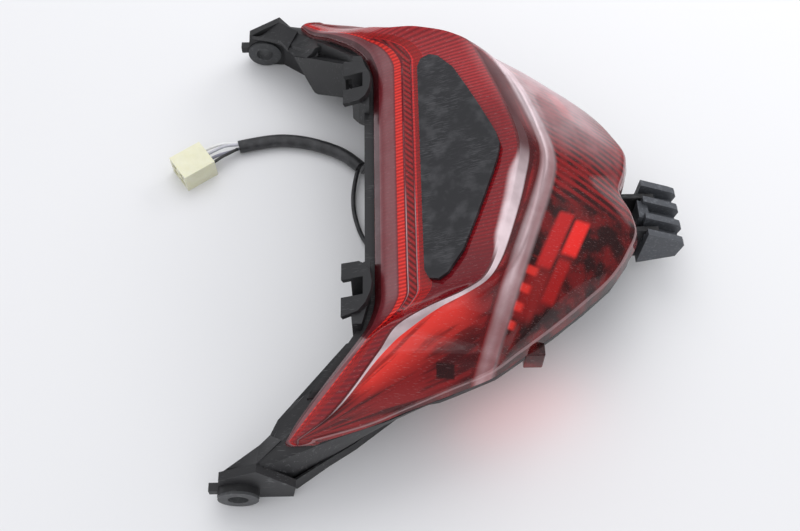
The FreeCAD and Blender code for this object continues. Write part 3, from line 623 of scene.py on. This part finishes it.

# Painted lit patches of the rear faces, as a span along their lean, a span of |y| and a colour.
PATCH_LEAN = 0.12
LIT_PATCHES = [
    ((60.0, 67.0, 1.2), (27.0, 54.0, 1.4), (0.56, 0.010, 0.010)),
    ((58.5, 68.0, 1.6), (54.5, 74.0, 3.0), (0.27, 0.007, 0.007)),
    ((68.5, 75.5, 1.0), (29.0, 46.0, 1.4), (0.95, 0.024, 0.018)),
    ((68.5, 74.5, 1.2), (48.5, 66.0, 1.6), (0.42, 0.009, 0.009)),
]
SMALL_PATCHES = ((57.0, 62.0, 1.3), (51.0, 81.0, 1.5))
SMALL_PATCH_PITCH = 7.0
# The painted lit patches fade on the far side to this share.
FAR_SIDE_SHARE = 0.3

# The bevel's painted highlight: its face in creases passed, lowered by a little along its middle, and by much
# more along the sweep of a wing, where only the part within BEVEL_SWEPT counts.
BEVEL_FACE = (4.03, 5.05, 0.04)
BEVEL_MIDDLE, MIDDLE_LOWERING = (-52.0, -8.0, 8.0), 0.09
BEVEL_SWEEP, SWEEP_LOWERING = (66.0, 107.0, 7.0), 0.40
BEVEL_SWEPT = (3.62, 4.55, 0.05)
BEVEL_SHEEN = 0.88

# The other painted highlights, as a band and its sheen: the ridge, the line along it, the far faces, where
# the backdrop's reflection is painted, the front, the line above its ledge, and the beads over a span of y.
RIDGE_BAND, RIDGE_SHEEN = (42.5, 50.0, 1.2), 0.50
RIDGE_LINE, LINE_SHEEN = (44.0, 46.5, 1.5), 0.24
FAR_FACES, FAR_SHEEN = (40.0, 84.0, 12.0), 0.52
FRONT_LOW, FRONT_SHEEN = (1.0, 2.34, 0.05), 0.12
FRONT_LINE, FRONT_LINE_SHEEN = (1.92, 2.0, 0.02), 0.28
BEAD_SPAN, BEAD_SHEEN = (-72.0, -14.0, 10.0), 0.45

# How much light the fluting of each part of the lens turns aside.
FRONT_COVER = 0.86
DECK_COVER = 0.90
SIDE_COVER = 0.80
CREST_COVER = 0.75
CLEAR_COVER = 0.35


class LensPaint(Paint):
    """The lens's paint, with the measures and masks that place its bands, faces and patches."""

    def __init__(self, name):
        super().__init__(name)
        self.across = self.attribute("across")
        self.x = self.axis("X")
        self.y = self.axis("Y")
        self.side = self.math("ABSOLUTE", self.y)
        bend = self.math("SQRT", self.math("MULTIPLY_ADD", self.y, self.y, RIDGE_ROUNDING))
        bend = self.math("SUBTRACT", bend, RIDGE_SETBACK)
        self.ridge = self.math("MULTIPLY_ADD", bend, RIDGE_SLANT, self.x)
        self.flute = self.zigzag(self.y, FLUTE_PITCH)
        self.cloud = self.noise(18, 3)
        self.front = self.window(self.across, *FRONT)
        self.deck = self.window(self.across, *DECK)
        self.wing = self.times(self.fade(self.across, 4.75, 4.95), self.fade(self.ridge, *WING_END))
        self.rear = self.times(self.fade(self.ridge, *REAR_START), self.fade(self.across, 5.6, 6.0))
        self.crest = self.times(self.window(self.ridge, *CREST), self.fade(self.across, 4.9, 5.1))


def paint_front_and_deck(paint):
    """Fine flutes in bands: a dark ledge, a bright column, a hatched strip and the deck in painted glow."""
    look = paint.colour(paint.cloud, (0.10, 0.004, 0.008), (0.16, 0.008, 0.014))
    fluted_front = paint.times(paint.front, paint.spread(paint.flute, 0.35, 0.9))
    look = paint.colour(fluted_front, look, (0.20, 0.010, 0.018))
    look = paint.colour(paint.window(paint.across, *LEDGE), look, (0.05, 0.002, 0.004))
    # The deck's red is painted glow, lighter towards the far side and fainter at the near corner.
    near_corner = paint.window(paint.y, *NEAR_CORNER)
    lit_deck = paint.times(paint.deck, paint.spread(near_corner, 1.0, 0.25))
    deck_red = paint.colour(paint.fade(paint.y, 15.0, 45.0), (0.30, 0.008, 0.013), (0.52, 0.030, 0.036))
    look = paint.colour(paint.times(lit_deck, paint.spread(paint.flute, 0.2, 1.0)), look, deck_red)
    hatch = paint.zigzag(paint.math("MULTIPLY_ADD", paint.x, 1.3, paint.y), HATCH_PITCH)
    hatch_red = paint.colour(hatch, (0.06, 0.002, 0.003), (0.46, 0.014, 0.016))
    look = paint.colour(paint.window(paint.across, *HATCHED_STRIP), look, hatch_red)
    # The bright column and the bright strip are painted glow from the reflectors behind.
    column_red = paint.colour(paint.flute, (0.42, 0.006, 0.006), (1.0, 0.045, 0.03))
    look = paint.colour(paint.window(paint.across, *COLUMN), look, column_red)
    strip_red = paint.colour(paint.flute, (0.55, 0.012, 0.014), (0.85, 0.020, 0.020))
    return paint.colour(paint.window(paint.across, *BRIGHT_STRIP), look, strip_red)


def paint_wings(paint):
    """The wings' sides: streaks that fan out from the tip, with a painted glow brightest under the bevel."""
    reach_x = paint.math("SUBTRACT", paint.x, FAN_TIP[0])
    reach_y = paint.math("SUBTRACT", FAN_TIP[1], paint.side)
    fan = paint.math("ARCTAN2", reach_y, reach_x)
    squares = paint.math("ADD", paint.times(reach_x, reach_x), paint.times(reach_y, reach_y))
    reach = paint.math("SQRT", squares)
    streaks = paint.noise_of(paint.times(fan, FAN_STREAKS), paint.times(reach, 0.03), z=0.0, detail=3)
    # The glow is painted light from the reflector facets behind the lens.
    glow = paint.times(paint.fade(fan, 0.41, 0.60), paint.window(reach, *FAN_REACH))
    glow = paint.times(glow, paint.spread(paint.fade(streaks, 0.36, 0.50), 0.45, 1.0))
    look = paint.colour(paint.fade(streaks, 0.36, 0.60), (0.07, 0.003, 0.005), (0.28, 0.010, 0.012))
    look = paint.colour(glow, look, (1.0, 0.060, 0.045))
    along, outward = WING_WINDOW
    dark_window = paint.times(paint.window(paint.x, *along), paint.window(paint.side, *outward))
    return paint.colour(dark_window, look, (0.03, 0.002, 0.003))


def paint_rear(paint):
    """The rear faces: dark, with painted lit patches and a row of small ones on each side."""
    curve = paint.times(paint.times(paint.y, paint.y), 0.006)
    bands = paint.zigzag(paint.math("ADD", paint.math("MULTIPLY_ADD", paint.x, 0.34, paint.y), curve), 4.2)
    banded = paint.times(paint.fade(bands, 0.15, 0.9), paint.fade(paint.y, -26.0, -12.0))
    murk = paint.fade(paint.noise(11, 3, offset=2.0), 0.42, 0.66)
    look = paint.colour(murk, (0.022, 0.0012, 0.0016), (0.18, 0.006, 0.007))
    look = paint.colour(banded, look, (0.30, 0.009, 0.011))
    lean = paint.math("MULTIPLY_ADD", paint.side, PATCH_LEAN, paint.ridge)
    strength = paint.spread(paint.fade(paint.y, 5.0, -5.0), FAR_SIDE_SHARE, 1.0)
    for back, outward, red in LIT_PATCHES:
        patch = paint.times(paint.window(lean, *back), paint.window(paint.side, *outward))
        look = paint.colour(paint.times(patch, strength), look, red)
    back, outward = SMALL_PATCHES
    small = paint.times(paint.window(lean, *back), paint.window(paint.side, *outward))
    small = paint.times(small, paint.fade(paint.zigzag(paint.side, SMALL_PATCH_PITCH), 0.35, 0.75))
    return paint.colour(small, look, (0.80, 0.035, 0.026))


def rim_highlights_and_scratches(paint, look):
    """Painted highlight lines along the rims, and fine scratches."""
    rim = paint.most(paint.window(paint.across, *LOWER_RIM), paint.window(paint.across, *FRONT_RIM))
    look = paint.colour(paint.times(rim, 0.5), look, (0.50, 0.32, 0.33))
    scuffs = paint.most(paint.scratches(0.22, 12, 0.345), paint.scratches(0.3, -38, 0.33))
    return paint.colour(paint.times(scuffs, 0.2), look, (0.7, 0.5, 0.5))


def painted_bevel_highlight(paint):
    """Painted highlight on the bevel beside the deck, widest along the wing and faint on the far side."""
    lowering = paint.times(paint.window(paint.side, *BEVEL_SWEEP), SWEEP_LOWERING)
    swept = paint.math("SUBTRACT", paint.most(paint.across, 4.0), lowering)
    middle = paint.window(paint.y, *BEVEL_MIDDLE)
    lowered = paint.math("MULTIPLY_ADD", middle, MIDDLE_LOWERING, paint.across)
    bevel = paint.times(paint.window(swept, *BEVEL_SWEPT), paint.window(lowered, *BEVEL_FACE))
    bevel = paint.times(bevel, paint.spread(paint.fade(paint.side, 100.0, 114.0), 1.0, 0.15))
    return paint.times(bevel, paint.spread(paint.fade(paint.y, 2.0, -12.0), 0.12, 1.0))


def painted_ridge_highlight(paint):
    """Painted highlight on the ridge, with a brighter line along its middle."""
    crown = paint.times(paint.window(paint.ridge, *RIDGE_BAND), RIDGE_SHEEN)
    line = paint.times(paint.window(paint.ridge, *RIDGE_LINE), LINE_SHEEN)
    wing_share = paint.spread(paint.fade(paint.side, 50.0, 92.0), 1.0, 0.5)
    return paint.times(paint.math("ADD", crown, line), wing_share)


def painted_lens_highlights(paint):
    """Painted highlights, a soft gloss laid on by mask: bevel, ridge, far faces, front and its two beads."""
    far_faces = paint.times(paint.fade(paint.y, 0.0, 24.0), paint.window(paint.ridge, *FAR_FACES))
    sheen = paint.math("MULTIPLY_ADD", far_faces, FAR_SHEEN, painted_ridge_highlight(paint))
    sheen = paint.most(paint.times(painted_bevel_highlight(paint), BEVEL_SHEEN), sheen)
    sheen = paint.times(sheen, paint.fade(paint.across, 3.5, 3.9))
    front = paint.times(paint.window(paint.across, *FRONT_LOW), FRONT_SHEEN)
    front_line = paint.times(paint.window(paint.across, *FRONT_LINE), FRONT_LINE_SHEEN)
    beads = paint.most(*(paint.window(paint.across, *line) for line in BEAD_LINES))
    beads = paint.times(paint.times(beads, paint.window(paint.y, *BEAD_SPAN)), BEAD_SHEEN)
    sheen = paint.most(sheen, front, front_line, beads)
    # The painted highlights vary in patches.
    highlight_patches = paint.fade(paint.noise(12, 3, offset=4.0), 0.3, 0.6)
    return paint.times(sheen, paint.spread(highlight_patches, 0.75, 1.0))


def lens_plastic():
    """Red transparent plastic in fluted bands, with a painted glow for the bright parts behind it."""
    paint = LensPaint("red_lens")
    nodes = paint.tree.nodes
    look = paint_front_and_deck(paint)
    look = paint.colour(paint.wing, look, paint_wings(paint))
    look = paint.colour(paint.rear, look, paint_rear(paint))
    look = paint.colour(paint.crest, look, (0.22, 0.008, 0.010))
    look = rim_highlights_and_scratches(paint, look)
    dust = paint.fade(paint.noise(9, 6, offset=1.7), 0.5, 0.85)
    flutes = paint.times(paint.flute, paint.most(paint.front, paint.deck))
    paint.set(Base_Color=look, Roughness=paint.spread(dust, 0.25, 0.4), Specular_IOR_Level=0.0,
              Normal=paint.bump(flutes, 0.2, 0.4))

    # What the fluting turns aside shows the painted colour and its painted glow, and the rest passes through.
    cover = paint.most(paint.times(paint.front, FRONT_COVER), paint.times(paint.deck, DECK_COVER),
                       paint.times(paint.wing, SIDE_COVER), paint.times(paint.rear, SIDE_COVER),
                       paint.times(paint.crest, CREST_COVER), CLEAR_COVER)
    clear = nodes.new("ShaderNodeBsdfTransparent")
    paint.fill(clear.inputs["Color"], paint.colour(paint.cloud, (0.93, 0.085, 0.08), (0.86, 0.05, 0.055)))
    body = paint.mix_shaders(cover, clear.outputs[0], paint.shader.outputs[0])

    # The polished outer skin, and the softer gloss of the painted highlights.
    geometry = nodes.new("ShaderNodeNewGeometry")
    outward = paint.math("SUBTRACT", 1.0, geometry.outputs["Backfacing"])
    skin = paint.times(outward, paint.math("SUBTRACT", 1.0, paint.attribute("inner")))
    facing = nodes.new("ShaderNodeFresnel")
    facing.inputs["IOR"].default_value = 1.5
    gloss = nodes.new("ShaderNodeBsdfGlossy")
    gloss.inputs["Roughness"].default_value = 0.05
    polished = paint.mix_shaders(paint.times(facing.outputs[0], skin), body, gloss.outputs[0])
    soft = nodes.new("ShaderNodeBsdfGlossy")
    soft.inputs["Roughness"].default_value = 0.32
    paint.fill(soft.inputs["Color"], (1.0, 0.82, 0.85))
    finished = paint.mix_shaders(paint.times(painted_lens_highlights(paint), skin), polished, soft.outputs[0])
    paint.fill(paint.output.inputs["Surface"], finished)
    return paint.material


def clear_glass(name):
    """Thin clear glass, slightly hazed."""
    paint = Paint(name)
    haze = paint.noise(8, 3)
    clear = paint.tree.nodes.new("ShaderNodeBsdfTransparent")
    paint.fill(clear.inputs["Color"], paint.colour(haze, (0.97, 0.98, 0.98), (0.93, 0.94, 0.95)))
    facing = paint.tree.nodes.new("ShaderNodeFresnel")
    paint.set(Base_Color=(0.9, 0.92, 0.93), Roughness=paint.spread(haze, 0.02, 0.07))
    share = paint.math("ADD", facing.outputs[0], 0.03, clamp=True)
    mixed = paint.mix_shaders(share, clear.outputs[0], paint.shader.outputs[0])
    paint.fill(paint.output.inputs["Surface"], mixed)
    return paint.material


# The reflectors' facets fan out from this (x, |y|), so many to a radian.
FACET_TIP = (-62.0, 112.0)
FACETS = 9.0


def bright_metal(name):
    """Vacuum-metallised plastic, with stepped facets pressed into it."""
    paint = Paint(name)
    reach_x = paint.math("SUBTRACT", paint.axis("X"), FACET_TIP[0])
    reach_y = paint.math("SUBTRACT", paint.math("ABSOLUTE", paint.axis("Y")), FACET_TIP[1])
    fan = paint.math("ARCTAN2", reach_y, reach_x)
    steps = paint.math("FRACT", paint.times(fan, FACETS))
    cloud = paint.noise(9, 3)
    paint.set(Base_Color=paint.colour(steps, (0.95, 0.95, 0.95), (0.62, 0.62, 0.63)),
              Roughness=paint.spread(cloud, 0.16, 0.3), Metallic=0.7)
    paint.set(Normal=paint.bump(steps, 1.2, 0.7))
    return paint.material


def dress(obj, material):
    obj.data.materials.clear()
    obj.data.materials.append(material)


SOFTENED_ANGLE = 28


def round_edges(obj, width, segments=2):
    """Softens a moulding's sharp edges, which a modifier does without touching its mesh."""
    bevel = obj.modifiers.new("soft_edges", "BEVEL")
    bevel.width = width * MM
    bevel.segments = segments
    bevel.limit_method = "ANGLE"
    bevel.angle_limit = math.radians(SOFTENED_ANGLE)
    bevel.harden_normals = True


dress(lens, lens_plastic())
dress(NODES["rear_housing"], housing_plastic())
round_edges(NODES["rear_housing"], 0.45)
panel_paint = moulded_plastic("panel_black", (0.007, 0.007, 0.009), (0.016, 0.016, 0.019), 0.40, grain=0.35,
                              grain_depth=0.02, scuff=0.42, dust=0.18)
dress(NODES["centre_panel"], panel_paint)
round_edges(NODES["centre_panel"], 0.7, 3)
dress(NODES["panel_tape"], rubber("foam_tape", (0.04, 0.04, 0.042), 0.8))
dress(NODES["lens_seal"], rubber("seal_rubber", (0.022, 0.022, 0.024), 0.7))
dress(NODES["rear_cushion"], rubber("cushion_rubber", (0.075, 0.08, 0.09), 0.55))
round_edges(NODES["rear_cushion"], 0.6, 3)
dress(NODES["reflector_bezel"], bright_metal("bright_metal"))
dress(NODES["reflector_screws"], metal("screw_steel", (0.7, 0.7, 0.68), 0.3))
bright = bright_metal("dish_metal")
holder_paint = moulded_plastic("holder_plastic", (0.04, 0.04, 0.042), (0.07, 0.07, 0.072), 0.5)
bush_paint = rubber("bush_rubber", (0.07, 0.072, 0.075), 0.55)
disc_paint = moulded_plastic("disc_fibre", (0.25, 0.14, 0.08), (0.36, 0.22, 0.13), 0.6)
spring_paint = metal("spring_steel", (0.6, 0.6, 0.6), 0.3)
base_paint = metal("bulb_brass", (0.78, 0.66, 0.42), 0.25)
glass_paint = clear_glass("bulb_glass")
filament_paint = metal("filament_metal", (0.42, 0.42, 0.44), 0.4)
seal_paint = rubber("holder_seal_rubber", (0.03, 0.03, 0.03), 0.6)
for name in SIDES:
    dress(NODES[name + "_wing_reflector"], bright)
    dress(NODES[name + "_reflector"], bright)
    dress(NODES[name + "_bulb_holder"], holder_paint)
    round_edges(NODES[name + "_bulb_holder"], 0.4)
    dress(NODES[name + "_holder_seal"], seal_paint)
    dress(NODES[name + "_contact_disc"], disc_paint)
    dress(NODES[name + "_contact_spring"], spring_paint)
    dress(NODES[name + "_bulb_base"], base_paint)
    dress(NODES[name + "_bulb_glass"], glass_paint)
    dress(NODES[name + "_filament"], filament_paint)
    dress(NODES[name + "_arm_bush"], bush_paint)
    round_edges(NODES[name + "_arm_bush"], 0.5, 3)
dress(NODES["connector_housing"], nylon("nylon_natural"))
round_edges(NODES["connector_housing"], 0.35)
dress(NODES["connector_terminals"], metal("terminal_brass", (0.8, 0.7, 0.45), 0.3))
dress(sleeve, vinyl("sleeve_vinyl", (0.022, 0.022, 0.024), 0.34))
lead_paint = vinyl("lead_black", (0.02, 0.02, 0.022), 0.4)
dress(left_lead, lead_paint)
dress(right_lead, lead_paint)
WIRE_COLOURS = {"wire_white": (0.82, 0.82, 0.80), "wire_pale_grey": (0.55, 0.55, 0.60),
                "wire_grey": (0.22, 0.22, 0.27), "wire_black": (0.03, 0.03, 0.03)}
for name, piece in wires.items():
    dress(piece, vinyl(name + "_vinyl", WIRE_COLOURS[name], 0.38))

# ---------------------------------------------------------------- floor and light

FLOOR_HALF = 3.0


def make_floor():
    mesh = bpy.data.meshes.new("floor")
    corners = [(x * FLOOR_HALF, y * FLOOR_HALF, 0) for x, y in ((-1, -1), (1, -1), (1, 1), (-1, 1))]
    mesh.from_pydata(corners, [], [(0, 1, 2, 3)])
    floor = bpy.data.objects.new("floor", mesh)
    bpy.context.scene.collection.objects.link(floor)
    paint = Paint("floor_paint")
    shade = paint.colour(paint.noise(300, 2), (0.83, 0.83, 0.84), (0.80, 0.80, 0.81))
    paint.set(Base_Color=shade, Roughness=0.7)
    dress(floor, paint.material)


def make_light(name, place, aim, width, height, power, colour=(1, 1, 1)):
    """A soft box in metres and watts that lights the object without showing in its gloss."""
    data = bpy.data.lights.new(name, "AREA")
    data.shape = "RECTANGLE"
    data.size = width
    data.size_y = height
    data.energy = power
    data.color = colour
    lamp = bpy.data.objects.new(name, data)
    bpy.context.scene.collection.objects.link(lamp)
    lamp.location = place
    lamp.rotation_mode = "QUATERNION"
    lamp.visible_glossy = False
    lamp.rotation_quaternion = (Vector(aim) - Vector(place)).to_track_quat("-Z", "Y")


# The tent's brightness rises between these heights of the direction looked in.
TENT_LOW, TENT_HIGH = 0.1, 0.75
HORIZON_STRENGTH, OVERHEAD_STRENGTH = 0.35, 1.0


def make_world():
    """A light tent: bright overhead and darker near the horizon."""
    world = bpy.data.worlds.new("studio")
    world.use_nodes = True
    tree = world.node_tree
    coords = tree.nodes.new("ShaderNodeTexCoord")
    split = tree.nodes.new("ShaderNodeSeparateXYZ")
    ramp = tree.nodes.new("ShaderNodeMapRange")
    ramp.interpolation_type = "SMOOTHSTEP"
    ramp.inputs["From Min"].default_value = TENT_LOW
    ramp.inputs["From Max"].default_value = TENT_HIGH
    ramp.inputs["To Min"].default_value = HORIZON_STRENGTH
    ramp.inputs["To Max"].default_value = OVERHEAD_STRENGTH
    tree.links.new(coords.outputs["Generated"], split.inputs[0])
    tree.links.new(split.outputs["Z"], ramp.inputs["Value"])
    tree.links.new(ramp.outputs[0], tree.nodes["Background"].inputs["Strength"])
    tree.nodes["Background"].inputs["Color"].default_value = (0.96, 0.97, 1.0, 1)
    bpy.context.scene.world = world


make_floor()
make_light("key", (-0.1, 0.7, 1.0), (0, 0, 0.04), 0.9, 0.9, 3.6)
make_light("right_box", (0.69, 0.69, 0.47), (0.03, 0, 0.07), 0.6, 0.32, 3)
make_light("near_box", (0.25, -0.95, 0.10), (0, -0.07, 0.08), 0.7, 0.14, 1.2)
# This one stands for the red light that comes through the lens onto the floor beside it.
make_light("red_spill", (0.030, -0.092, 0.026), (0.032, -0.098, 0), 0.06, 0.012, 0.0028, (1.0, 0.12, 0.10))
make_world()
bpy.context.scene.view_settings.view_transform = "Standard"
